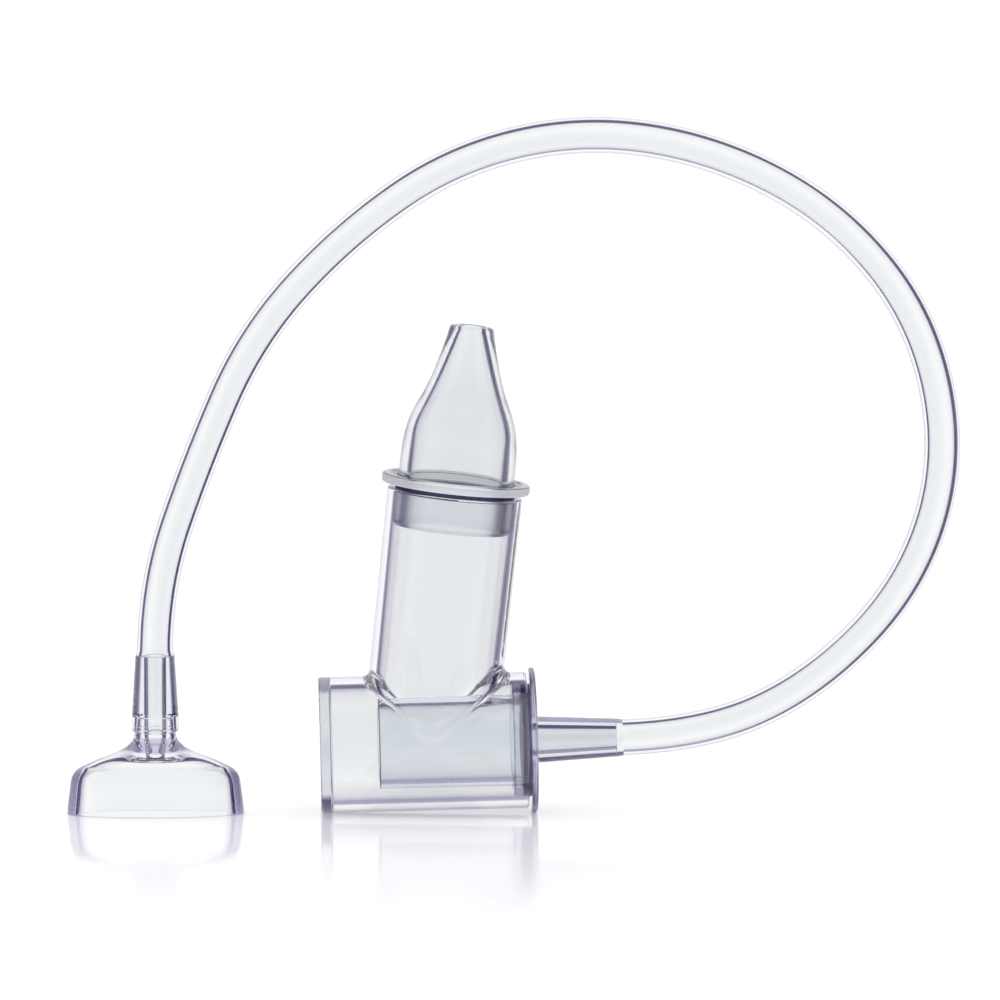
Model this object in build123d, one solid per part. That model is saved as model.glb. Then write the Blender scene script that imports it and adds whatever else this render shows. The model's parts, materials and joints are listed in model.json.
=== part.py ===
from build123d import *
from math import atan2, cos, degrees, pi, radians, sin, tan
import os

# Nasal aspirator, millimetres. +X runs from the mouthpiece to the hose's spigot, +Z is up.
# The origin is under the middle of everything but the hose, on the surface that it stands on.
# Each turned piece is drawn as a half-section of (radius, height) points about its own axis.

# ---- driving dimensions ----
# barrel of the collector, closed at its left end
BARREL_R = 13.6
BARREL_BORE_R = 11.3
BARREL_LENGTH = 41.5
END_WALL = 2.0
BARREL_X = -4.5  # its left face, where the axis meets it
EDGE_R = 0.5  # rounding of the two edges that the collector stands on

# neck of the collector
NECK_ALONG = 21.9  # from the barrel's left face to where the two axes cross
NECK_LEAN = 7.15  # degrees from the barrel's perpendicular, towards the outlet
NECK_RISE = 50.6  # from the barrel's axis to the neck's rim
NECK_R = 13.5
NECK_FOOT_R = 13.3
NECK_BORE_R = 11.9
NECK_BORE_FOOT_R = 11.3
SADDLE_R = 1.5  # fillet where the neck grows out of the barrel
RIM_ROUND = 0.35

# outlet cap
PLAY = 0.04  # radial clearance of every push fit
FLANGE_R = 14.5
FLANGE_THICK = 1.25
FLANGE_GAP = 0.5  # between the barrel's rim and the flange
PLUG_DEPTH = 3.0  # how far the plug ring goes into the barrel
PLUG_WALL = 1.5
INNER_TUBE_R = 9.2
INNER_TUBE_TIP_R = 9.0
INNER_TUBE_BORE_R = 7.5
INNER_TUBE_REACH = 30.2  # from the flange's inner face to the tube's open end

# hose spigots, tapered so that the hose grips them
SPIGOT_BASE_R = 3.9
SPIGOT_TIP_R = 2.85
SPIGOT_BORE_BASE_R = 2.45
SPIGOT_BORE_TIP_R = 1.85
CAP_SPIGOT_LENGTH = 16.1

# nose tip, heights above the neck's rim
TIP_GAP = 0.9
TIP_FLANGE_R = 14.8
TIP_FLANGE_THICK = 1.9
TIP_FLANGE_ROUND = 0.5
TIP_STEP_R = 13.3  # the raised outer lip of the flange ends here
TIP_STEP = 0.3
TIP_SKIRT_DEPTH = 7.3
TIP_SKIRT_BORE_R = 9.3
TIP_BASE_R = 11.6
TIP_LENGTH = 30.6  # above the flange
TIP_MOUTH_R = 2.1

# mouthpiece: ovals of its outside and of its cavity, as (height, half width, half depth)
MOUTH_HALF_WIDTH = 17.65
MOUTH_OUTSIDE = [
    (0, MOUTH_HALF_WIDTH, 7.0),
    (2.0, 17.5, 6.95),
    (4.0, 17.25, 6.85),
    (6.0, 17.0, 6.7),
    (7.6, 16.65, 6.5),
    (8.9, 15.7, 6.2),
    (9.7, 14.3, 5.9),
    (10.5, 12.6, 5.6),
    (11.2, 10.9, 5.3),
    (11.9, 9.1, 5.0),
    (12.6, 7.4, 4.7),
    (13.5, 5.8, 4.4),
    (14.9, 4.5, 4.15),
    (16.4, 4.05, 4.05),
]
MOUTH_CAVITY = [
    (-2.0, 15.6, 5.0),
    (0, 15.4, 4.95),
    (2.0, 15.2, 4.85),
    (4.0, 15.0, 4.75),
    (6.0, 14.8, 4.6),
    (7.5, 14.3, 4.35),
    (8.6, 13.2, 4.05),
    (9.3, 11.7, 3.75),
    (9.9, 10.1, 3.4),
    (10.4, 8.4, 3.0),
    (10.8, 6.6, 2.5),
    (11.1, 4.7, 1.9),
]
MOUTH_SPIGOT_BASE_Z = 16.4
MOUTH_SPIGOT_TIP_Z = 31.8
MOUTH_BORE_R = 1.65

# hose
HOSE_R = 3.6
HOSE_BORE_R = 2.6
SLEEVE_WALL_TIP = 1.0
SLEEVE_WALL_BASE = 0.75

# ---- places that follow from them ----
flange_inner = BARREL_LENGTH + FLANGE_GAP
flange_outer = flange_inner + FLANGE_THICK
spigot_tip = flange_outer + CAP_SPIGOT_LENGTH
# the collector rests on the barrel's left edge and on the cap's flange, so it tilts by this angle
tilt = degrees(atan2(FLANGE_R - BARREL_R, flange_inner))
barrel_height = (BARREL_R - EDGE_R) * cos(radians(tilt)) + EDGE_R - EDGE_R * sin(radians(tilt))
barrel_frame = Pos(BARREL_X, 0, barrel_height) * Rot(0, -tilt, 0)
# the mouthpiece stands as far to the left as the cap's spigot reaches to the right
spigot_tip_x = BARREL_X + spigot_tip * cos(radians(tilt)) + SPIGOT_TIP_R * sin(radians(tilt))
mouth_x = MOUTH_HALF_WIDTH - spigot_tip_x
# local Z of this frame is the neck's axis, starting at the barrel's axis
neck_frame = barrel_frame * Pos(NECK_ALONG, 0, 0) * Rot(0, NECK_LEAN, 0)
# local Z of this frame runs along the barrel, towards the outlet
outlet_frame = barrel_frame * Rot(0, 90, 0)
mouth_frame = Pos(mouth_x, 0, 0)


def turned(outline):
    """A solid turned about local Z from a list of edges drawn in the XZ plane."""
    return revolve(make_face(outline), Axis.Z)


def lines(*points):
    """Straight edges through (radius, height) points."""
    return Polyline(*[(r, 0, h) for r, h in points])


def bend(*points):
    """A Bezier edge with (radius, height) control points."""
    return Bezier(*[(r, 0, h) for r, h in points])


def cone(low_r, high_r, low, high):
    """A solid cone frustum about local Z between two heights."""
    return turned(lines((0, low), (low_r, low), (high_r, high), (0, high), (0, low)))


def make_collector_body():
    barrel = cone(BARREL_R, BARREL_R, 0, BARREL_LENGTH).moved(Rot(0, 90, 0))
    neck_place = Pos(NECK_ALONG, 0, 0) * Rot(0, NECK_LEAN, 0)
    neck = cone(NECK_FOOT_R, NECK_R, 0, NECK_RISE).moved(neck_place)
    body = barrel + neck
    body = fillet(saddle_edges(body), SADDLE_R)
    left_edge = body.edges().filter_by(GeomType.CIRCLE).sort_by(Axis.X)[0]
    body = fillet(left_edge, EDGE_R)
    reach = BARREL_LENGTH + 5
    bore = cone(BARREL_BORE_R, BARREL_BORE_R, END_WALL, reach)
    bore = fillet(bore.edges().filter_by(GeomType.CIRCLE).sort_by(Axis.Z)[0], EDGE_R)
    body = body - bore.moved(Rot(0, 90, 0))
    spread = (NECK_BORE_R - NECK_BORE_FOOT_R) / NECK_RISE
    neck_bore = cone(NECK_BORE_FOOT_R, NECK_BORE_R + 5 * spread, 0, NECK_RISE + 5)
    body = body - neck_bore.moved(neck_place)
    neck_rim = body.faces().filter_by(GeomType.PLANE).sort_by(Axis.Z)[-1]
    body = fillet(neck_rim.edges(), RIM_ROUND)
    outlet_rim = body.faces().filter_by(GeomType.PLANE).sort_by(Axis.X)[-1]
    body = fillet(outlet_rim.edges(), RIM_ROUND)
    return body.moved(barrel_frame)


def saddle_edges(body):
    """The edges where the neck meets the barrel: all that are neither circles nor straight."""
    return body.edges().filter_by(lambda e: e.geom_type not in (GeomType.CIRCLE, GeomType.LINE))


def make_outlet_cap():
    plug_r = BARREL_BORE_R - PLAY
    plug_end = BARREL_LENGTH - PLUG_DEPTH
    tube_end = flange_inner - INNER_TUBE_REACH
    cap = turned(
        lines(
            (SPIGOT_BORE_TIP_R, spigot_tip),
            (SPIGOT_TIP_R, spigot_tip),
            (SPIGOT_BASE_R, flange_outer),
            (FLANGE_R, flange_outer),
            (FLANGE_R, flange_inner),
            (plug_r, flange_inner),
            (plug_r, plug_end),
            (plug_r - PLUG_WALL, plug_end),
            (plug_r - PLUG_WALL, flange_inner),
            (INNER_TUBE_R, flange_inner),
            (INNER_TUBE_TIP_R, tube_end),
            (INNER_TUBE_BORE_R, tube_end),
            (INNER_TUBE_BORE_R, flange_inner),
            (SPIGOT_BORE_BASE_R, flange_inner),
            (SPIGOT_BORE_TIP_R, spigot_tip),
        )
    )
    circles = cap.edges().filter_by(GeomType.CIRCLE)
    cap = fillet(circles.filter_by(lambda e: abs(e.radius - FLANGE_R) < 0.01), EDGE_R)
    circles = cap.edges().filter_by(GeomType.CIRCLE)
    cap = fillet(circles.filter_by(lambda e: abs(e.radius - SPIGOT_TIP_R) < 0.01), RIM_ROUND)
    return cap.moved(outlet_frame)


def make_nose_tip():
    top = TIP_GAP + TIP_FLANGE_THICK
    skirt_taper = (NECK_BORE_R - NECK_BORE_FOOT_R) / NECK_RISE * TIP_SKIRT_DEPTH
    skirt_r = NECK_BORE_R - PLAY
    outline = lines(
        (TIP_SKIRT_BORE_R, -TIP_SKIRT_DEPTH),
        (skirt_r - skirt_taper - 0.6, -TIP_SKIRT_DEPTH),
        (skirt_r - skirt_taper, -TIP_SKIRT_DEPTH + 0.8),
        (skirt_r, 0),
        (skirt_r, TIP_GAP),
        (TIP_FLANGE_R, TIP_GAP),
        (TIP_FLANGE_R, top),
        (TIP_STEP_R, top),
        (TIP_STEP_R - TIP_STEP, top - TIP_STEP),
        (TIP_BASE_R, top - TIP_STEP),
        (TIP_BASE_R, top + 1.5),
    )
    outline = outline + bend(
        (TIP_BASE_R, top + 1.5), (TIP_BASE_R, top + 9.5), (10.6, top + 11.9), (8.6, top + 16.0)
    )
    outline = outline + bend(
        (8.6, top + 16.0), (7.6, top + 18.05), (5.75, top + 23.5), (4.55, top + 29.5)
    )
    outline = outline + bend(
        (4.55, top + 29.5), (4.4, top + TIP_LENGTH), (3.9, top + TIP_LENGTH), (3.3, top + TIP_LENGTH)
    )
    outline = outline + lines(
        (3.3, top + TIP_LENGTH), (TIP_MOUTH_R, top + 30.1), (2.45, top + 29.0)
    )
    outline = outline + bend(
        (2.45, top + 29.0), (3.3, top + 25.9), (5.2, top + 20.0), (7.1, top + 15.0)
    )
    outline = outline + bend(
        (7.1, top + 15.0), (8.0, top + 12.7), (9.2, top + 10.6), (9.2, top + 7.0)
    )
    outline = outline + lines((9.2, top + 7.0), (TIP_SKIRT_BORE_R, -TIP_SKIRT_DEPTH))
    tip = turned(outline)
    circles = tip.edges().filter_by(GeomType.CIRCLE)
    tip = fillet(circles.filter_by(lambda e: abs(e.radius - TIP_FLANGE_R) < 0.01), TIP_FLANGE_ROUND)
    return tip.moved(neck_frame * Pos(0, 0, NECK_RISE))


def through_ovals(sections):
    """A smooth solid through horizontal ovals given as (height, half width, half depth)."""
    return loft([Pos(0, 0, z) * Ellipse(width, depth) for z, width, depth in sections])


def make_mouthpiece():
    spigot = cone(SPIGOT_BASE_R, SPIGOT_TIP_R, MOUTH_SPIGOT_BASE_Z - 0.5, MOUTH_SPIGOT_TIP_Z)
    bore = cone(MOUTH_BORE_R, MOUTH_BORE_R, 9.0, MOUTH_SPIGOT_TIP_Z + 1)
    shell = through_ovals(MOUTH_OUTSIDE) - through_ovals(MOUTH_CAVITY)
    return (shell + spigot - bore).moved(mouth_frame)


def on_barrel_axis(along):
    """The point (x, z) of the barrel's axis this far from the barrel's left face."""
    return (
        BARREL_X + along * cos(radians(tilt)),
        barrel_height + along * sin(radians(tilt)),
    )


def hose_route():
    """Points (x, z) that the hose's centre line runs between, from the cap's spigot to the mouthpiece's."""
    return [
        on_barrel_axis(spigot_tip),
        on_barrel_axis(spigot_tip + 17.0),
        (94.1, 25.1),
        (113.8, 45.4),
        (121.5, 71.1),
        (115.9, 98.4),
        (98.8, 119.5),
        (75.1, 132.4),
        (48.5, 136.8),
        (22.4, 130.9),
        (0.3, 115.6),
        (-17.8, 95.7),
        (-28.5, 71.1),
        (mouth_x, 45.8),
        (mouth_x, MOUTH_SPIGOT_TIP_Z),
    ]


def hose_path():
    """Straight runs joined by tangent arcs, each as large as its two runs allow."""
    points = [Vector(x, 0, z) for x, z in hose_route()]
    radii = []
    for before, here, after in zip(points, points[1:], points[2:]):
        shorter = min((here - before).length, (after - here).length)
        turn = (here - before).get_angle(after - here)
        radii.append(0.45 * shorter / tan(radians(turn / 2)))
    print("hose bend radii, mm:", [round(r, 1) for r in radii])
    return FilletPolyline(*points, radius=radii)


def sleeve(base, tip):
    """The end of the hose stretched over a tapered spigot, about local Z, from its base to its tip."""
    bore_base = SPIGOT_BASE_R + PLAY
    bore_tip = SPIGOT_TIP_R + PLAY
    return turned(
        lines(
            (bore_base, base),
            (bore_base + SLEEVE_WALL_BASE, base),
            (bore_tip + SLEEVE_WALL_TIP, tip),
            (bore_tip, tip),
            (bore_base, base),
        )
    )


def make_hose():
    path = hose_path()
    ring = Circle(HOSE_R) - Circle(HOSE_BORE_R)
    tube = sweep(Plane(origin=path @ 0, z_dir=path % 0) * ring, path=path)
    section = pi * (HOSE_R**2 - HOSE_BORE_R**2)
    print("hose free length, mm:", round(path.length, 1))
    print("tube volume over section times length:", round(tube.volume / (section * path.length), 4))
    cap_sleeve = sleeve(flange_outer + 0.1, spigot_tip).moved(outlet_frame)
    mouth_sleeve = sleeve(MOUTH_SPIGOT_BASE_Z + 0.1, MOUTH_SPIGOT_TIP_Z).moved(mouth_frame)
    return tube + cap_sleeve + mouth_sleeve


PIECES = {
    "collector_body": make_collector_body,
    "outlet_cap": make_outlet_cap,
    "nose_tip": make_nose_tip,
    "mouthpiece": make_mouthpiece,
    "hose": make_hose,
}

os.makedirs("parts", exist_ok=True)
for name, make in PIECES.items():
    export_step(make(), f"parts/{name}.step")
print("collector tilt, degrees:", round(tilt, 3))
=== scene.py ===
import json
import math

import bpy
import numpy as np
from mathutils import Matrix, Vector


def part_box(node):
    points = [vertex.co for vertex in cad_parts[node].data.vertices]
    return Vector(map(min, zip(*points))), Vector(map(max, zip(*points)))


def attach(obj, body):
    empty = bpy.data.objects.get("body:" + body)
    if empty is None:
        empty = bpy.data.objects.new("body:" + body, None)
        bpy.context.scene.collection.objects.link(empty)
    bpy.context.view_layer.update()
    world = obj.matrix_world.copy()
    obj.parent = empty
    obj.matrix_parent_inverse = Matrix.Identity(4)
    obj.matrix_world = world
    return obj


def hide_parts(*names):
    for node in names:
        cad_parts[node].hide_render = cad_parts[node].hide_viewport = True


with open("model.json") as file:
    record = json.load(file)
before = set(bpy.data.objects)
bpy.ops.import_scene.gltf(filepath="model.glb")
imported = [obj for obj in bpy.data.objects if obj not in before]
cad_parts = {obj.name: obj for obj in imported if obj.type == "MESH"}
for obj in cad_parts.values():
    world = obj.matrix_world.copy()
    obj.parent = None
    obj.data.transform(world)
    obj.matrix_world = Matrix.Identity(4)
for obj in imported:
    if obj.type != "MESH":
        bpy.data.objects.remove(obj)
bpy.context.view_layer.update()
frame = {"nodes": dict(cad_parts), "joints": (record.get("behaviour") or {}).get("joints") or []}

# Lengths below are in millimetres and become metres when a mesh is made.
MM = 0.001
joints = {joint["name"]: joint for joint in frame["joints"]}

# ---- places taken from the frame ----
# The barrel's axis leans up towards the outlet; the cap's flange ends at the hose joint's place.
barrel_axis = Vector(joints["cap_pull"]["axis"]).normalized()
neck_axis = Vector(joints["tip_pull"]["axis"]).normalized()
flange_centre = Vector(joints["hose_swivel"]["pos_m"]) / MM
mouth_low, mouth_high = [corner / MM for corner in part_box("mouthpiece")]
mouth_x = (mouth_low.x + mouth_high.x) / 2

# ---- driving dimensions, as in the CAD model ----
BARREL_LENGTH = 41.5
BARREL_BORE_R = 11.3
END_WALL = 2.0
NECK_ALONG = 21.9  # from the barrel's left face to where the two axes cross
NECK_RISE = 50.6  # from the barrel's axis to the neck's rim
NECK_BORE_R = 11.9
NECK_BORE_FOOT_R = 11.3

PLAY = 0.04  # radial clearance of every push fit
FLANGE_R = 14.5
FLANGE_THICK = 1.25
FLANGE_GAP = 0.5
FLANGE_INNER = BARREL_LENGTH + FLANGE_GAP  # the flange's two faces, from the barrel's left face
FLANGE_OUTER = FLANGE_INNER + FLANGE_THICK
PLUG_DEPTH = 3.0
PLUG_WALL = 1.5
INNER_TUBE_R = 9.2
INNER_TUBE_TIP_R = 9.0
INNER_TUBE_BORE_R = 7.5
INNER_TUBE_REACH = 30.2
INNER_TUBE_END = FLANGE_INNER - INNER_TUBE_REACH

# hose and its two spigots
HOSE_R = 3.6
HOSE_BORE_R = 2.6
SPIGOT_BASE_R = 3.9
SPIGOT_TIP_R = 2.85
SPIGOT_BORE_BASE_R = 2.45
SPIGOT_BORE_TIP_R = 1.85
CAP_SPIGOT_LENGTH = 16.1
CAP_SPIGOT_TIP = FLANGE_OUTER + CAP_SPIGOT_LENGTH
MOUTH_SPIGOT_BASE = 16.4  # heights above the mouthpiece's rim
MOUTH_SPIGOT_TIP = 31.8
MOUTH_GROOVE = (17.2, 19.7)  # between these heights the spigot stands clear of the hose
MOUTH_BORE_R = 1.65

# nose tip
TIP_GAP = 0.9  # between the neck's rim and the flange
TIP_FLANGE_R = 14.8
TIP_FLANGE_THICK = 1.9
TIP_STEP_R = 13.3  # the raised outer lip of the flange ends here
TIP_STEP = 0.3
TIP_SKIRT_DEPTH = 7.3
TIP_SKIRT_BORE_R = 9.3
TIP_BASE_R = 11.6

# ---- numbers of the materials on a piece's faces ----
MAIN = 0
INSERTED = 1  # pushed into another piece, or touching one
PAINTED_SHADE = 2  # painted shade: dark, where two pieces meet
RIM = 3  # edge of a flange, with painted shade


def along_barrel(distance):
    """The point of the barrel's axis this far from the barrel's left face."""
    return flange_centre + barrel_axis * (distance - FLANGE_OUTER)


neck_foot = along_barrel(NECK_ALONG)
neck_rim = neck_foot + neck_axis * NECK_RISE


def place_along(axis, origin):
    """A transform whose local Z is the axis and whose local Y stays the frame's Y."""
    across = Vector((0, 1, 0))
    side = across.cross(axis)
    turn = Matrix((side, across, axis)).transposed()
    return Matrix.Translation(origin) @ turn.to_4x4()


# ---- camera ----
VIEW_WIDTH = 199.3  # of the plane through the middle of the object
CAMERA_DISTANCE = 1600.0
CAMERA_AIM = Vector((31.6, 0.0, 62.75))
CAMERA_AZIMUTH = -2.0
CAMERA_ELEVATION = 6.3


def make_camera():
    azimuth = math.radians(CAMERA_AZIMUTH)
    elevation = math.radians(CAMERA_ELEVATION)
    level = math.cos(elevation)
    back = Vector((math.sin(azimuth) * level, -math.cos(azimuth) * level, math.sin(elevation)))
    data = bpy.data.cameras.new("camera")
    data.sensor_width = 36.0
    data.lens = data.sensor_width * CAMERA_DISTANCE / VIEW_WIDTH
    data.clip_start = 0.01
    camera = bpy.data.objects.new("camera", data)
    camera.location = (CAMERA_AIM + back * CAMERA_DISTANCE) * MM
    camera.rotation_euler = (-back).to_track_quat("-Z", "Y").to_euler()
    bpy.context.scene.collection.objects.link(camera)
    bpy.context.scene.camera = camera


# ---- meshes ----
def mesh_object(name, points, faces, corner_normals, inner, kinds):
    """A closed mesh object from points in millimetres, with a normal and a bore mark for each face
    corner, and for each face the number of its material."""
    mesh = bpy.data.meshes.new(name)
    mesh.from_pydata((np.asarray(points) * MM).tolist(), [], faces)
    mesh.polygons.foreach_set("use_smooth", [True] * len(mesh.polygons))
    mesh.update()
    mesh.normals_split_custom_set(corner_normals)
    layer = mesh.attributes.new("inner", "FLOAT", "CORNER")
    layer.data.foreach_set("value", inner)
    piece = bpy.data.objects.new(name, mesh)
    bpy.context.scene.collection.objects.link(piece)
    piece["kinds"] = kinds
    return piece


def unit(vector):
    vector = np.asarray(vector, float)
    return vector / np.linalg.norm(vector)


def straight(start, end, longest=2.5):
    """Stretches of an outline: (start, end, direction at start, direction at end)."""
    start, end = np.asarray(start, float), np.asarray(end, float)
    count = max(1, math.ceil(np.linalg.norm(end - start) / longest))
    marks = [start + (end - start) * i / count for i in range(count + 1)]
    along = unit(end - start)
    return [(a, b, along, along) for a, b in zip(marks, marks[1:])]


def bend(start, pull_start, pull_end, end, count=14):
    """A Bezier stretch of an outline."""
    p = [np.asarray(q, float) for q in (start, pull_start, pull_end, end)]

    def at(t):
        s = 1 - t
        return s**3 * p[0] + 3 * s * s * t * p[1] + 3 * s * t * t * p[2] + t**3 * p[3]

    def slope(t):
        s = 1 - t
        return unit(s * s * (p[1] - p[0]) + 2 * s * t * (p[2] - p[1]) + t * t * (p[3] - p[2]))

    marks = [i / count for i in range(count + 1)]
    return [(at(a), at(b), slope(a), slope(b)) for a, b in zip(marks, marks[1:])]


def corners(*points):
    """An outline through (r, h) or (r, h, rounding) corners, each rounded by a tangent arc."""
    p = [np.asarray(q[:2], float) for q in points]
    rounding = [q[2] if len(q) > 2 else 0.0 for q in points]
    stretches, last = [], p[0]
    for i in range(1, len(p)):
        if i == len(p) - 1 or not rounding[i]:
            stretches += straight(last, p[i])
            last = p[i]
            continue
        before, after = unit(p[i] - p[i - 1]), unit(p[i + 1] - p[i])
        turn = math.acos(np.clip(before @ after, -1, 1))
        back = rounding[i] * math.tan(turn / 2)
        start, end = p[i] - before * back, p[i] + after * back
        stretches += straight(last, start)
        side = 1 if before[0] * after[1] - before[1] * after[0] > 0 else -1
        across = np.array([-before[1], before[0]]) * side
        centre = start + across * rounding[i]
        steps = max(3, math.ceil(turn / math.radians(15)))
        arms = []
        for k in range(steps + 1):
            cos, sin = math.cos(turn * k / steps), math.sin(turn * k / steps)
            arms.append((before * sin - across * cos, before * cos + across * sin))
        for (arm_a, dir_a), (arm_b, dir_b) in zip(arms, arms[1:]):
            stretches.append((centre + arm_a * rounding[i], centre + arm_b * rounding[i], dir_a, dir_b))
        last = end
    return stretches


def ringed(name, stretches, place, kind, turns=160):
    """A piece of oval rings about its place's local Z. Its closed outline of (half width, half depth,
    height) runs anticlockwise, up the outside and down the inside; kind(half width, height, bore)
    gives the number of a face's material."""
    count = len(stretches)
    angles = np.arange(turns) * 2 * math.pi / turns
    cos, sin = np.cos(angles), np.sin(angles)
    wide, deep, high = np.array([stretch[0] for stretch in stretches]).T
    points = np.stack([np.outer(wide, cos), np.outer(deep, sin), np.outer(high, np.ones(turns))], axis=2)
    turn = np.array(place.to_3x3())
    flat = points.reshape(-1, 3) @ turn.T + np.array(place.translation)

    def normals(ring, direction):
        outward = np.stack(
            [
                ring[1] * cos * direction[2],
                ring[0] * sin * direction[2],
                -(ring[0] * sin * sin * direction[1] + ring[1] * cos * cos * direction[0]),
            ],
            axis=1,
        )
        return outward / np.linalg.norm(outward, axis=1)[:, None] @ turn.T

    faces, corner_normals, inner, kinds = [], [], [], []
    for i, (start, end, start_direction, end_direction) in enumerate(stretches):
        at_start, at_end = normals(start, start_direction), normals(end, end_direction)
        # where the outline runs down it is on the inside
        bore = 1.0 if start_direction[2] + end_direction[2] < -0.3 else 0.0
        middle = (start + end) / 2
        face_kind = kind(middle[0], middle[2], bore)
        nxt = (i + 1) % count
        for k in range(turns):
            m = (k + 1) % turns
            faces.append((i * turns + k, i * turns + m, nxt * turns + m, nxt * turns + k))
            corner_normals += [at_start[k], at_start[m], at_end[m], at_end[k]]
            inner += [bore] * 4
            kinds.append(face_kind)
    return mesh_object(name, flat, faces, corner_normals, inner, kinds)


def round_rings(stretches):
    """The oval rings that a round outline of (r, h) stands for."""
    return [[np.array([q[0], q[0], q[1]]) for q in stretch] for stretch in stretches]


def turned(name, stretches, place, kind):
    """A piece turned about its place's local Z from a closed (r, h) outline."""
    return ringed(name, round_rings(stretches), place, kind)


# ---- hose ----
HOSE_STRAIGHT = 17.0  # its straight start beyond the cap's spigot
GRIP_START = 0.1  # gap between a sleeve's end and the shoulder behind it
SLEEVE_WALL = 0.72  # over the foot of the cap's spigot
CAP_SLEEVE_TIP_R = 3.8
CAP_SLEEVE_RUNOUT = 1.6
MOUTH_SLEEVE_TIP_R = 3.92
SLEEVE_RUNOUT = 1.2
# The rounded end of the sleeve at the mouthpiece: (distance from its end, radius).
MOUTH_SLEEVE_END = [(0, 4.3), (0.12, 4.5), (0.35, 4.63), (0.8, 4.72), (2, 4.74)]


def hose_route():
    """The points that the hose's free length runs between, from the cap's spigot to the mouthpiece's."""
    spigot_end = along_barrel(CAP_SPIGOT_TIP)
    straight_on = along_barrel(CAP_SPIGOT_TIP + HOSE_STRAIGHT)
    return [
        (spigot_end.x, spigot_end.z),
        (straight_on.x, straight_on.z),
        (94.1, 25.1),
        (113.8, 45.4),
        (121.5, 71.1),
        (115.9, 98.4),
        (98.8, 119.5),
        (75.1, 132.4),
        (48.5, 136.8),
        (22.4, 130.9),
        (0.3, 115.6),
        (-17.8, 95.7),
        (-28.5, 71.1),
        (mouth_x, 45.8),
        (mouth_x, MOUTH_SPIGOT_TIP),
    ]


def hose_line():
    """Points of the smooth line through the free hose, in millimetres."""
    route = hose_route()
    curve = bpy.data.curves.new("hose_line", "CURVE")
    curve.dimensions = "3D"
    curve.resolution_u = 24
    spline = curve.splines.new("NURBS")
    spline.points.add(len(route) - 1)
    for point, (x, z) in zip(spline.points, route):
        point.co = (x * MM, 0.0, z * MM, 1.0)
    spline.order_u = 3
    spline.use_endpoint_u = True
    guide = bpy.data.objects.new("hose_line", curve)
    bpy.context.scene.collection.objects.link(guide)
    bpy.context.view_layer.update()
    mesh = bpy.data.meshes.new_from_object(guide)
    line = [vertex.co / MM for vertex in mesh.vertices]
    bpy.data.objects.remove(guide)
    bpy.data.meshes.remove(mesh)
    return line


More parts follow.
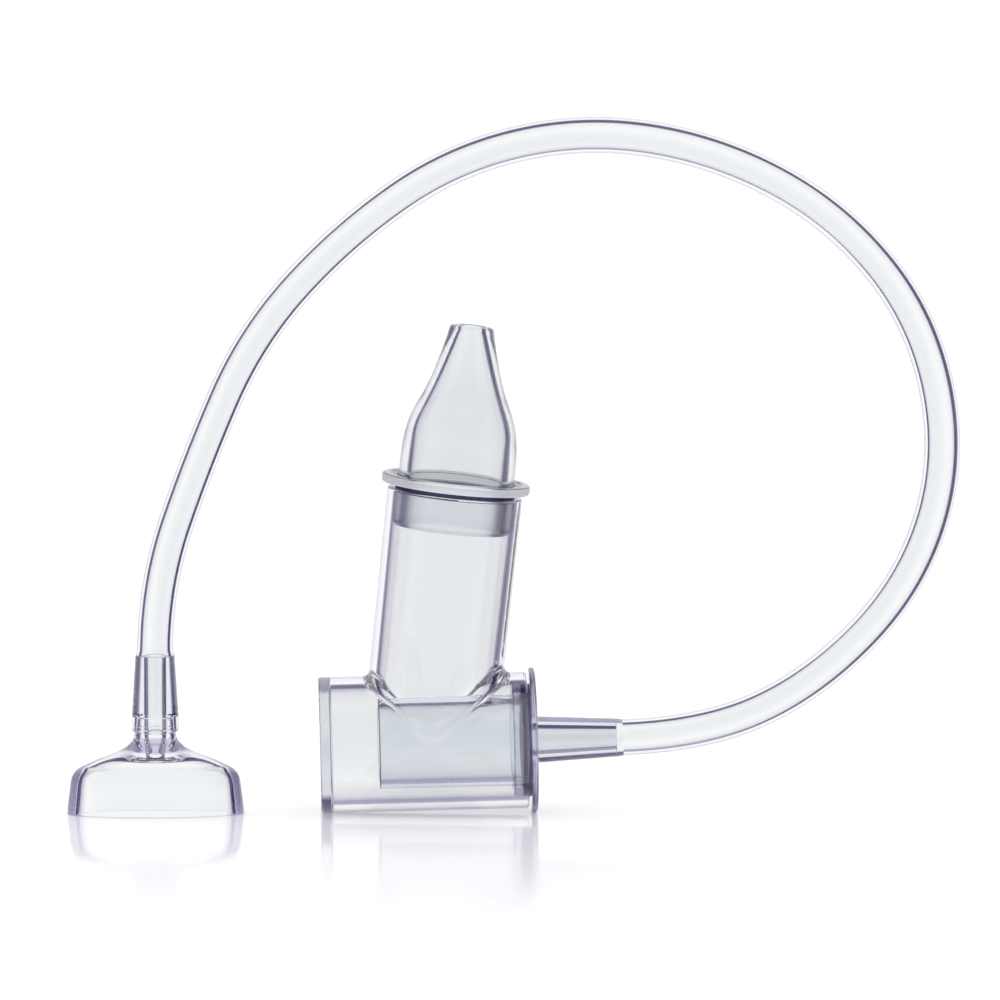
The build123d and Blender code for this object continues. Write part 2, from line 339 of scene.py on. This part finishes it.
def make_hose():
    """The hose as one tube, with its ends stretched over the two tapered spigots."""
    free = hose_line()
    cap_end = along_barrel(FLANGE_OUTER + GRIP_START)
    mouth_end = Vector((mouth_x, 0.0, MOUTH_SPIGOT_BASE + GRIP_START))

    def run(a, b, step):
        count = max(1, round((b - a).length / step))
        return [a.lerp(b, i / count) for i in range(count)]

    line = run(cap_end, free[0], 0.4) + free[:-1] + run(free[-1], mouth_end, 0.2) + [mouth_end]
    line = np.array([[point.x, point.z] for point in line])
    steps = np.linalg.norm(np.diff(line, axis=0), axis=1)
    travel = np.concatenate([[0], np.cumsum(steps)])
    left = travel[-1] - travel
    tangent = np.gradient(line, travel, axis=0)
    tangent /= np.linalg.norm(tangent, axis=1)[:, None]

    # radii along it, by the distance from its nearer end
    cap_grip = CAP_SPIGOT_TIP - FLANGE_OUTER
    mouth_grip = MOUTH_SPIGOT_TIP - mouth_end.z
    groove = [height - mouth_end.z for height in MOUTH_GROOVE]
    base, tip = SPIGOT_BASE_R + PLAY, SPIGOT_TIP_R + PLAY

    def radii(at_cap, at_mouth):
        near_cap = np.interp(travel, [d for d, _ in at_cap], [r for _, r in at_cap])
        near_mouth = np.interp(left, [d for d, _ in at_mouth], [r for _, r in at_mouth])
        return np.where(travel < left, near_cap, near_mouth)

    skin = radii(
        [(0, base + SLEEVE_WALL), (cap_grip, CAP_SLEEVE_TIP_R), (cap_grip + CAP_SLEEVE_RUNOUT, HOSE_R)],
        MOUTH_SLEEVE_END + [(mouth_grip, MOUTH_SLEEVE_TIP_R), (mouth_grip + SLEEVE_RUNOUT, HOSE_R)],
    )
    bore = radii(
        [(0, base), (cap_grip, tip), (cap_grip + SLEEVE_RUNOUT, HOSE_BORE_R)],
        [(0, base), (mouth_grip, tip), (mouth_grip + SLEEVE_RUNOUT, HOSE_BORE_R)],
    )
    turns = 64
    angles = np.arange(turns) * 2 * math.pi / turns
    along = np.stack([tangent[:, 0], np.zeros(len(line)), tangent[:, 1]], axis=1)
    side = np.stack([-tangent[:, 1], np.zeros(len(line)), tangent[:, 0]], axis=1)
    centre = np.stack([line[:, 0], np.zeros(len(line)), line[:, 1]], axis=1)
    depth = np.array([0.0, 1.0, 0.0])
    radial = side[:, None, :] * np.cos(angles)[None, :, None] + depth * np.sin(angles)[None, :, None]

    def outward(radius):
        lean = radial - np.gradient(radius, travel)[:, None, None] * along[:, None, :]
        return (lean / np.linalg.norm(lean, axis=2)[:, :, None]).reshape(-1, 3)

    rows = len(line)
    points = np.concatenate([centre[:, None] + radial * r[:, None, None] for r in (skin, bore)])
    skin_normal, bore_normal = outward(skin), -outward(bore)
    faces, normals, inner, kinds = [], [], [], []
    second = rows * turns
    for i in range(rows - 1):
        on_groove = groove[0] < left[i] < groove[1]
        on_mouth = left[i + 1] < mouth_grip - GRIP_START and not on_groove
        bore_kind = INSERTED if travel[i] < cap_grip - GRIP_START or on_mouth else MAIN
        for k in range(turns):
            m = (k + 1) % turns
            a, b, c, d = i * turns + k, i * turns + m, (i + 1) * turns + m, (i + 1) * turns + k
            faces += [(a, d, c, b), (second + a, second + b, second + c, second + d)]
            normals += [skin_normal[q] for q in (a, d, c, b)] + [bore_normal[q] for q in (a, b, c, d)]
            inner += [0.0] * 4 + [1.0] * 4
            kinds += [MAIN, bore_kind]
    for i, out in ((0, -along[0]), (rows - 1, along[-1])):
        for k in range(turns):
            m = (k + 1) % turns
            a, b = i * turns + k, i * turns + m
            faces.append((a, b, second + b, second + a) if i == 0 else (b, a, second + a, second + b))
            normals += [out] * 4
            inner += [0.0] * 4
            kinds.append(MAIN)
    hose = mesh_object("hose_tube", points.reshape(-1, 3), faces, normals, inner, kinds)
    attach(hose, "hose_line")
    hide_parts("hose")
    return hose


# ---- nose tip ----
# Bezier curves from the flange up the outside, over the rounded mouth and down the bore: the four
# (r, h) points of each, with heights above the flange's top, and its number of steps.
TIP_CURVES = [
    ((TIP_BASE_R, 1.5), (11.6, 9.5), (10.6, 11.9), (8.6, 16.0), 24),
    ((8.6, 16.0), (7.6, 18.05), (5.75, 23.5), (4.55, 29.5), 24),
    ((4.55, 29.5), (4.4, 30.6), (3.9, 30.6), (3.3, 30.6), 10),
    ((3.3, 30.6), (2.5, 30.6), (2.1, 30.4), (2.1, 30.1), 8),
    ((2.1, 30.1), (2.1, 29.8), (2.3, 29.5), (2.45, 29.0), 6),
    ((2.45, 29.0), (3.3, 25.9), (5.2, 20.0), (7.1, 15.0), 24),
    ((7.1, 15.0), (8.0, 12.7), (9.2, 10.6), (9.2, 7.0), 20),
]
TIP_SHADE_FOOT = -0.6  # height above the neck's rim where the painted dark shade under the flange starts
SKIRT_PLAY = 0.02  # between the soft skirt and the neck's bore


def make_nose_tip():
    low = TIP_GAP
    top = low + TIP_FLANGE_THICK
    depth = TIP_SKIRT_DEPTH
    taper = (NECK_BORE_R - NECK_BORE_FOOT_R) / NECK_RISE * depth
    skirt = NECK_BORE_R - SKIRT_PLAY
    outline = corners(
        (TIP_SKIRT_BORE_R, -depth),
        (skirt - taper - 0.6, -depth, 0.15),
        (skirt - taper, -depth + 0.8, 0.3),
        (skirt - 0.01, TIP_SHADE_FOOT),
        (skirt, 0.0),
        (skirt, low, 0.12),
        (TIP_FLANGE_R, low, 0.5),
        (TIP_FLANGE_R, top, 0.5),
        (TIP_STEP_R, top, 0.15),
        (TIP_STEP_R - TIP_STEP, top - TIP_STEP, 0.15),
        (TIP_BASE_R, top - TIP_STEP, 0.25),
        (TIP_BASE_R, top + 1.5),
    )
    for *points, count in TIP_CURVES:
        outline += bend(*[(r, top + h) for r, h in points], count)
    bore_top = outline[-1][1]
    outline += straight(bore_top, (TIP_SKIRT_BORE_R, -depth))

    def kind(radius, height, bore):
        on_dome = height > top - TIP_STEP / 2 and radius < TIP_STEP_R - 0.8
        if bore or on_dome or radius < TIP_SKIRT_BORE_R + 0.05:
            return MAIN
        if radius > skirt + 0.1:
            return RIM if height < top - 0.2 else MAIN
        # the skirt's outside is painted dark shade from 0.6 mm under the neck's rim up to the flange
        return PAINTED_SHADE if height > TIP_SHADE_FOOT else INSERTED

    tip = turned("nose_tip_silicone", outline, place_along(neck_axis, neck_rim), kind)
    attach(tip, "tip")
    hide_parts("nose_tip")
    return tip


# ---- outlet cap ----
PLUG_SHADE = 1.1  # how far into the barrel the plug is painted dark, as shade seen through the barrel's rim
END_RING = 0.3  # how much of the inner tube's open end is painted dark shade


def make_outlet_cap():
    plug = BARREL_BORE_R - PLAY
    shade_start = BARREL_LENGTH - PLUG_SHADE
    outline = corners(
        (SPIGOT_BORE_BASE_R, FLANGE_INNER),
        (INNER_TUBE_BORE_R, FLANGE_INNER, 0.3),
        (INNER_TUBE_BORE_R, INNER_TUBE_END, 0.25),
        (INNER_TUBE_TIP_R, INNER_TUBE_END, 0.25),
        (INNER_TUBE_R, FLANGE_INNER, 0.2),
        (plug - PLUG_WALL, FLANGE_INNER, 0.2),
        (plug - PLUG_WALL, BARREL_LENGTH - PLUG_DEPTH, 0.25),
        (plug, BARREL_LENGTH - PLUG_DEPTH, 0.35),
        (plug, shade_start),
        (plug, FLANGE_INNER, 0.2),
        (FLANGE_R, FLANGE_INNER, 0.5),
        (FLANGE_R, FLANGE_OUTER, 0.5),
        (SPIGOT_BASE_R, FLANGE_OUTER, 0.1),
        (SPIGOT_TIP_R, CAP_SPIGOT_TIP, 0.2),
        (SPIGOT_BORE_TIP_R, CAP_SPIGOT_TIP, 0.2),
        (SPIGOT_BORE_BASE_R, FLANGE_INNER),
    )

    def kind(radius, height, bore):
        if bore:
            return MAIN
        # painted dark shade on the plug under the barrel's rim and on the inner tube's open end
        if radius > plug - 0.3 and height > shade_start:
            return PAINTED_SHADE if radius < plug + 0.1 else RIM
        if height < INNER_TUBE_END + END_RING:
            return PAINTED_SHADE
        on_spigot = FLANGE_OUTER + GRIP_START < height < CAP_SPIGOT_TIP - GRIP_START
        return INSERTED if radius < SPIGOT_BASE_R and on_spigot else MAIN

    cap = turned("outlet_cap_clear", outline, place_along(barrel_axis, along_barrel(0)), kind)
    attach(cap, "cap")
    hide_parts("outlet_cap")
    return cap


# ---- mouthpiece ----
GROOVE_DEPTH = 0.22
MOUTH_CEILING = 11.1  # of the cavity
MOUTH_HOLE_R = 2.2  # where the bore's rounding ends in the ceiling
# Ovals of its outside and of its cavity, as (half width, half depth, height).
MOUTH_OUTSIDE = [
    (17.65, 7.0, 0.0),
    (17.5, 6.95, 2.0),
    (17.25, 6.85, 4.0),
    (17.0, 6.7, 6.0),
    (16.65, 6.5, 7.6),
    (15.7, 6.2, 8.9),
    (14.3, 5.9, 9.7),
    (12.6, 5.6, 10.5),
    (10.9, 5.3, 11.2),
    (9.1, 5.0, 11.9),
    (7.4, 4.7, 12.6),
    (5.8, 4.4, 13.5),
    (4.5, 4.15, 14.9),
    (4.05, 4.05, MOUTH_SPIGOT_BASE),
]
MOUTH_CAVITY = [
    (4.7, 1.9, MOUTH_CEILING),
    (6.6, 2.5, 10.8),
    (8.4, 3.0, 10.4),
    (10.1, 3.4, 9.9),
    (11.7, 3.75, 9.3),
    (13.2, 4.05, 8.6),
    (14.3, 4.35, 7.5),
    (14.8, 4.6, 6.0),
    (15.0, 4.75, 4.0),
    (15.2, 4.85, 2.0),
    (15.4, 4.95, 0.0),
]


def smooth(points, parts=6):
    """Stretches of an outline along a smooth curve through the points."""
    p = np.array(points, float)
    slopes = np.gradient(p, axis=0)
    marks, directions = [], []
    for a, b, m, n in zip(p, p[1:], slopes, slopes[1:]):
        for t in np.arange(parts) / parts:
            curve = (b - a) * (3 * t**2 - 2 * t**3) + m * (t - 2 * t**2 + t**3) + n * (t**3 - t**2)
            slope = (b - a) * (6 * t - 6 * t**2) + m * (1 - 4 * t + 3 * t**2) + n * (3 * t**2 - 2 * t)
            marks.append(a + curve)
            directions.append(unit(slope))
    marks.append(p[-1])
    directions.append(unit(slopes[-1]))
    return list(zip(marks, marks[1:], directions, directions[1:]))


def ledge(start, end):
    """One flat stretch between two ovals, such as the rim."""
    start, end = np.array(start, float), np.array(end, float)
    return [(start, end, unit(end - start), unit(end - start))]


def make_mouthpiece():
    base, tip = SPIGOT_BASE_R, SPIGOT_TIP_R
    low, high = MOUTH_GROOVE

    def spigot_r(height):
        share = (height - MOUTH_SPIGOT_BASE) / (MOUTH_SPIGOT_TIP - MOUTH_SPIGOT_BASE)
        return base + (tip - base) * share

    outline = smooth(MOUTH_OUTSIDE)
    outline += round_rings(
        corners(
            (MOUTH_OUTSIDE[-1][0], MOUTH_SPIGOT_BASE),
            (base, MOUTH_SPIGOT_BASE),
            (spigot_r(low), low),
            (spigot_r(low) - GROOVE_DEPTH, low + 0.15, 0.1),
            (spigot_r(high) - GROOVE_DEPTH, high - 0.35, 0.1),
            (spigot_r(high), high),
            (tip, MOUTH_SPIGOT_TIP, 0.2),
            (MOUTH_BORE_R, MOUTH_SPIGOT_TIP, 0.2),
            (MOUTH_BORE_R, MOUTH_CEILING, 0.3),
            (MOUTH_HOLE_R, MOUTH_CEILING),
        )
    )
    outline += ledge((MOUTH_HOLE_R, MOUTH_HOLE_R, MOUTH_CEILING), MOUTH_CAVITY[0])
    outline += smooth(MOUTH_CAVITY)
    outline += ledge(MOUTH_CAVITY[-1], MOUTH_OUTSIDE[0])

    def kind(radius, height, bore):
        on_spigot = MOUTH_SPIGOT_BASE + GRIP_START < height < MOUTH_SPIGOT_TIP - GRIP_START
        return INSERTED if on_spigot and not bore and not low < height < high else MAIN

    mouth = ringed("mouthpiece_clear", outline, Matrix.Translation((mouth_x, 0, 0)), kind)
    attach(mouth, "mouth")
    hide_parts("mouthpiece")
    return mouth


# ---- materials ----
CLEAR_IOR = 1.5
SILICONE_IOR = 1.41
BORE_LIMIT = 12.5  # radius between the collector's bores and its outside


def ramp(nt, factor, stops):
    """A colour ramp read from a factor; stops are (position, colour)."""
    node = nt.nodes.new("ShaderNodeValToRGB")
    elements = node.color_ramp.elements
    while len(elements) < len(stops):
        elements.new(1.0)
    for element, (position, colour) in zip(elements, stops):
        element.position = position
        element.color = (*colour, 1.0)
    nt.links.new(factor, node.inputs["Fac"])
    return node.outputs["Color"]


def math_node(nt, operation, a, b):
    node = nt.nodes.new("ShaderNodeMath")
    node.operation = operation
    for socket, value in zip(node.inputs, (a, b)):
        if isinstance(value, float):
            socket.default_value = value
        else:
            nt.links.new(value, socket)
    return node.outputs["Value"]


def bore_mark(nt):
    """1 on faces that look inwards, from the mesh's own marks."""
    node = nt.nodes.new("ShaderNodeAttribute")
    node.attribute_name = "inner"
    return node.outputs["Fac"]


def from_axis(nt, point, axis, origin):
    """Distance from a line, in metres."""
    offset = nt.nodes.new("ShaderNodeVectorMath")
    offset.operation = "SUBTRACT"
    nt.links.new(point, offset.inputs[0])
    offset.inputs[1].default_value = origin * MM
    cross = nt.nodes.new("ShaderNodeVectorMath")
    cross.operation = "CROSS_PRODUCT"
    nt.links.new(offset.outputs["Vector"], cross.inputs[0])
    cross.inputs[1].default_value = axis
    length = nt.nodes.new("ShaderNodeVectorMath")
    length.operation = "LENGTH"
    nt.links.new(cross.outputs["Vector"], length.inputs[0])
    return length.outputs["Value"]


def collector_bore_mark(nt):
    """1 on the faces of the collector that lie near its two axes."""
    point = nt.nodes.new("ShaderNodeTexCoord").outputs["Object"]
    barrel = from_axis(nt, point, barrel_axis, along_barrel(0))
    neck = from_axis(nt, point, neck_axis, neck_foot)
    return math_node(nt, "LESS_THAN", math_node(nt, "MINIMUM", barrel, neck), BORE_LIMIT * MM)


def collector_end_mark(nt):
    """1 on the collector's closed end, which is a thick disc and is painted grey shade."""
    point = nt.nodes.new("ShaderNodeTexCoord").outputs["Object"]
    along = nt.nodes.new("ShaderNodeVectorMath")
    along.operation = "DOT_PRODUCT"
    nt.links.new(point, along.inputs[0])
    along.inputs[1].default_value = barrel_axis
    limit = (along_barrel(END_WALL) * MM).dot(barrel_axis)
    return math_node(nt, "LESS_THAN", along.outputs["Value"], limit)


def tinted(nt, below, facing, stops, mark):
    """The colour below, with a marked part of the surface in tints of its own."""
    mix = nt.nodes.new("ShaderNodeMix")
    mix.data_type = "RGBA"
    nt.links.new(below, mix.inputs["A"])
    nt.links.new(ramp(nt, facing, stops), mix.inputs["B"])
    nt.links.new(mark(nt), mix.inputs["Factor"])
    return mix.outputs["Result"]


def plain(name, colour, roughness=0.0, transmission=1.0, ior=CLEAR_IOR, specular=0.5):
    """Plastic of one colour."""
    m = bpy.data.materials.new(name)
    m.use_nodes = True
    p = m.node_tree.nodes["Principled BSDF"]
    p.inputs["Base Color"].default_value = (*colour, 1.0)
    p.inputs["Transmission Weight"].default_value = transmission
    p.inputs["Roughness"].default_value = roughness
    p.inputs["IOR"].default_value = ior
    p.inputs["Specular IOR Level"].default_value = specular
    return m


def clear(name, tints, *parts, **surface):
    """Clear plastic with painted shade: its colour darkens from facing to grazing, as ramp stops, for
    the dark surroundings that its edges bend into view. Each of the parts is a pair: tints of its own,
    and the mark that says where the surface wears them."""
    m = plain(name, tints[0][1], **surface)
    nt = m.node_tree
    weight = nt.nodes.new("ShaderNodeLayerWeight")
    weight.inputs["Blend"].default_value = 0.5
    facing = weight.outputs["Facing"]
    colour = ramp(nt, facing, tints)
    for part_tints, mark in parts:
        colour = tinted(nt, colour, facing, part_tints, mark)
    nt.links.new(colour, nt.nodes["Principled BSDF"].inputs["Base Color"])
    return m


def wear(piece, *materials):
    """Gives a piece its materials, in the order that its faces number them."""
    mesh = piece.data
    mesh.materials.clear()
    for material in materials:
        mesh.materials.append(material)
    if "kinds" in piece:
        mesh.polygons.foreach_set("material_index", list(piece["kinds"]))
        del piece["kinds"]


# Colours from facing to grazing, as (position, colour); each darkens towards grazing as painted shade
# for the dark surroundings that the clear walls bend into view, and the greyer facing colours of the
# cap's and the collector's bores are painted shade too.
OUTER = [
    (0.0, (0.97, 0.975, 0.98)),
    (0.55, (0.97, 0.975, 0.98)),
    (0.74, (0.7, 0.68, 0.82)),
    (0.9, (0.34, 0.3, 0.5)),
    (1.0, (0.04, 0.03, 0.12)),
]
BORE = [(0.0, (0.955, 0.965, 0.97)), (0.5, (0.955, 0.965, 0.97)), (0.95, (0.2, 0.17, 0.36))]
CAP_BORE = [(0.0, (0.81, 0.838, 0.862)), (0.5, (0.81, 0.838, 0.862)), (0.95, (0.25, 0.22, 0.4))]
BODY_BORE = [(0.0, (0.893, 0.906, 0.92)), (0.5, (0.893, 0.906, 0.92)), (0.95, (0.2, 0.17, 0.35))]
# The collector's closed end is painted grey, darker towards grazing: shade seen through the thick disc.
BODY_END = [
    (0.0, (0.68, 0.7, 0.74)),
    (0.6, (0.64, 0.65, 0.71)),
    (0.9, (0.2, 0.17, 0.34)),
    (1.0, (0.04, 0.03, 0.12)),
]
SILICONE = [(0.0, (0.945, 0.96, 0.972)), (0.6, (0.93, 0.945, 0.96)), (0.95, (0.3, 0.27, 0.46))]
FROST = [(0.0, (0.96, 0.975, 1.0)), (0.6, (0.95, 0.96, 1.0)), (0.95, (0.82, 0.82, 0.92))]
LIP = [(0.0, (0.9, 0.92, 0.96)), (0.6, (0.88, 0.9, 0.95)), (0.95, (0.55, 0.53, 0.68))]
# The cap's flange edge is painted violet, as shade for the dark surroundings bent through it.
EDGE = [(0.0, (0.66, 0.63, 0.86)), (0.6, (0.5, 0.46, 0.68)), (0.95, (0.26, 0.22, 0.42))]
# Painted violet shade on the mouthpiece's lower wall, for the dark surroundings its wall bends into
# view.
WALL = [
    (0.0, (0.97, 0.975, 0.98)),
    (0.12, (0.97, 0.975, 0.98)),
    (0.18, (0.26, 0.235, 0.41)),
    (0.7, (0.18, 0.155, 0.31)),
    (1.0, (0.04, 0.03, 0.1)),
]
# painted violet shade on a ring near the top of the mouthpiece's flare
RING = [(0.0, (0.42, 0.39, 0.56)), (0.5, (0.4, 0.37, 0.56)), (1.0, (0.1, 0.08, 0.2))]
# Where the mouthpiece's outside wears painted violet shade, on its wall and on a ring: heights in
# millimetres and the share.
HEIGHTS_TOP = 40  # above the whole piece
WALL_HEIGHTS = [(0, 1.0), (8.2, 1.0), (10.2, 0.0), (HEIGHTS_TOP, 0.0)]
RING_HEIGHTS = [(0, 0.0), (12.4, 0.0), (12.9, 1.0), (14.4, 1.0), (15.0, 0.0), (HEIGHTS_TOP, 0.0)]
# plain colours; DARK is the painted dark shade
CONTACT = (0.915, 0.927, 0.938)
DARK = (0.035, 0.025, 0.08)


def mouth_mark(nt, heights):
    """A share of the mouthpiece's outside, by height above its rim, which is at z = 0."""
    point = nt.nodes.new("ShaderNodeTexCoord").outputs["Object"]
    split = nt.nodes.new("ShaderNodeSeparateXYZ")
    nt.links.new(point, split.inputs["Vector"])
    height = math_node(nt, "MULTIPLY", split.outputs["Z"], 1 / (HEIGHTS_TOP * MM))
    share = ramp(nt, height, [(h / HEIGHTS_TOP, (v, v, v)) for h, v in heights])
    outside = math_node(nt, "SUBTRACT", 1.0, bore_mark(nt))
    return math_node(nt, "MULTIPLY", share, outside)


def mouth_wall_shade_mark(nt):
    return mouth_mark(nt, WALL_HEIGHTS)


def mouth_ring_shade_mark(nt):
    return mouth_mark(nt, RING_HEIGHTS)


def make_materials(hose, tip, cap, mouth):
    # Two faces that touch meet without air between them, so neither bends the light.
    touching = plain("clear_contact", CONTACT, ior=1.0)
    wear(hose, clear("clear_hose", OUTER, (BORE, bore_mark)), touching)

    inner_tube = clear("clear_cap", OUTER, (CAP_BORE, bore_mark))
    # the cap's faces: clear, touching, painted dark shade, and the flange's edge in painted violet shade
    wear(cap, inner_tube, touching, plain("clear_painted_shade", DARK), clear("clear_flange", EDGE))

    bell = clear("clear_mouthpiece", OUTER, (WALL, mouth_wall_shade_mark), (RING, mouth_ring_shade_mark))
    wear(mouth, bell, touching)

    body = clear("clear_body", OUTER, (BODY_BORE, collector_bore_mark), (BODY_END, collector_end_mark))
    wear(frame["nodes"]["collector_body"], body)

    soft = clear("soft_silicone", SILICONE, roughness=0.02, transmission=0.95, ior=SILICONE_IOR)
    frost = clear("frosted_silicone", FROST, roughness=0.3, transmission=0.97, ior=SILICONE_IOR)
    # painted dark shade where the skirt meets the neck's rim
    shade_band = plain("silicone_painted_shade", DARK, roughness=0.3, transmission=0.3, ior=SILICONE_IOR, specular=0.0)
    lip = clear("silicone_lip", LIP, roughness=0.3, transmission=0.5, ior=SILICONE_IOR)
    wear(tip, soft, frost, shade_band, lip)


# ---- floor, light and tent ----
FLOOR_SIZE = 16.0
# The floor is polished under the object and matt further out: (metres in front or behind, roughness).
FLOOR_SPAN = 0.5
FLOOR_GLOSS = [(0.0, 0.06), (0.05, 0.08), (0.12, 0.3), (0.2, 0.6), (FLOOR_SPAN, 0.7)]


def make_floor():
    bpy.ops.mesh.primitive_plane_add(size=FLOOR_SIZE)
    floor = bpy.context.object
    floor.name = "floor"
    material = bpy.data.materials.new("floor")
    material.use_nodes = True
    nt = material.node_tree
    p = nt.nodes["Principled BSDF"]
    p.inputs["Base Color"].default_value = (0.88, 0.88, 0.88, 1)
    p.inputs["Emission Color"].default_value = (0.92, 0.89, 1.0, 1)
    p.inputs["Emission Strength"].default_value = 0.22
    split = nt.nodes.new("ShaderNodeSeparateXYZ")
    nt.links.new(nt.nodes.new("ShaderNodeTexCoord").outputs["Object"], split.inputs["Vector"])
    away = math_node(nt, "ABSOLUTE", split.outputs["Y"], 0.0)
    share = math_node(nt, "MULTIPLY", away, 1 / FLOOR_SPAN)
    gloss = ramp(nt, share, [(d / FLOOR_SPAN, (r, r, r)) for d, r in FLOOR_GLOSS])
    nt.links.new(gloss, p.inputs["Roughness"])
    floor.data.materials.append(material)
    floor.visible_transmission = False


# The tent is a patch of a sphere with light and dark tones around the object. It rides on the camera,
# and only light that clear parts bend meets it. Its tones are (degrees from the view's direction,
# colour), across and then up.
TENT_RADIUS = 2.5
TENT_WIDE = 100  # degrees to either side
TENT_HIGH = 88  # degrees up and down
TENT_ACROSS = [
    (-TENT_WIDE, (0.22, 0.19, 0.38)),
    (-68, (0.2, 0.17, 0.35)),
    (-62, (0.045, 0.033, 0.13)),
    (-46, (0.045, 0.033, 0.13)),
    (-43, (0.14, 0.12, 0.28)),
    (-39, (0.42, 0.4, 0.62)),
    (-36, (1.0, 1.0, 1.0)),
    (27, (1.0, 1.0, 1.0)),
    (30, (0.42, 0.39, 0.6)),
    (36, (0.14, 0.11, 0.27)),
    (42, (0.03, 0.02, 0.09)),
    (TENT_WIDE, (0.03, 0.02, 0.09)),
]
TENT_UP = [
    (-TENT_HIGH, (0.36, 0.34, 0.48)),
    (-44, (0.36, 0.34, 0.48)),
    (-38, (1.0, 1.0, 1.0)),
    (32, (1.0, 1.0, 1.0)),
    (36, (0.4, 0.37, 0.6)),
    (40, (0.06, 0.045, 0.15)),
    (TENT_HIGH, (0.045, 0.03, 0.12)),
]
# and by how far from straight behind the object
TENT_OUT = [
    (0, (0.87, 0.895, 0.905)),
    (3.5, (0.88, 0.905, 0.915)),
    (9, (1.0, 1.0, 1.0)),
    (180, (1.0, 1.0, 1.0)),
]


def tones(table, angles):
    """The table's colours at these angles."""
    marks = [angle for angle, _ in table]
    channels = zip(*[colour for _, colour in table])
    return np.stack([np.interp(angles, marks, channel) for channel in channels], axis=-1)


def make_tent():
    across = np.arange(-TENT_WIDE, TENT_WIDE + 1.0)
    up = np.arange(-TENT_HIGH, TENT_HIGH + 1.0)
    a, e = np.meshgrid(np.radians(across), np.radians(up))
    points = np.stack([np.sin(a) * np.cos(e), np.sin(e), -np.cos(a) * np.cos(e)], axis=2) * TENT_RADIUS
    points[:, :, 2] -= CAMERA_DISTANCE * MM
    colours = tones(TENT_ACROSS, across)[None] * tones(TENT_UP, up)[:, None]
    colours *= tones(TENT_OUT, np.degrees(np.arccos(np.cos(a) * np.cos(e))))
    wide = len(across)
    faces = []
    for j in range(len(up) - 1):
        for i in range(wide - 1):
            k = j * wide + i
            faces.append((k, k + 1, k + wide + 1, k + wide))
    mesh = bpy.data.meshes.new("tent")
    mesh.from_pydata(points.reshape(-1, 3).tolist(), [], faces)
    layer = mesh.color_attributes.new("tone", "FLOAT_COLOR", "POINT")
    rgba = np.concatenate([colours.reshape(-1, 3), np.ones((len(up) * wide, 1))], axis=1)
    layer.data.foreach_set("color", rgba.ravel())
    material = bpy.data.materials.new("tent")
    material.use_nodes = True
    nt = material.node_tree
    nt.nodes.clear()
    tone = nt.nodes.new("ShaderNodeAttribute")
    tone.attribute_name = "tone"
    emission = nt.nodes.new("ShaderNodeEmission")
    out = nt.nodes.new("ShaderNodeOutputMaterial")
    nt.links.new(tone.outputs["Color"], emission.inputs["Color"])
    nt.links.new(emission.outputs["Emission"], out.inputs["Surface"])
    mesh.materials.append(material)
    tent = bpy.data.objects.new("tent", mesh)
    bpy.context.scene.collection.objects.link(tent)
    tent.parent = bpy.context.scene.camera
    tent.visible_camera = False
    tent.visible_diffuse = False
    tent.visible_glossy = False
    tent.visible_shadow = False


def make_light():
    world = bpy.data.worlds.new("studio")
    world.use_nodes = True
    background = world.node_tree.nodes["Background"]
    background.inputs["Color"].default_value = (1, 1, 1, 1)
    background.inputs["Strength"].default_value = 1.0
    scene = bpy.context.scene
    scene.world = world
    scene.view_settings.view_transform = "Standard"
    # enough to cross every clear wall, one inside the other
    scene.cycles.max_bounces = 32
    scene.cycles.transmission_bounces = 24
    scene.cycles.glossy_bounces = 32
    scene.cycles.transparent_max_bounces = 24


make_camera()
hose = make_hose()
tip = make_nose_tip()
cap = make_outlet_cap()
mouth = make_mouthpiece()
make_materials(hose, tip, cap, mouth)
make_floor()
make_tent()
make_light()
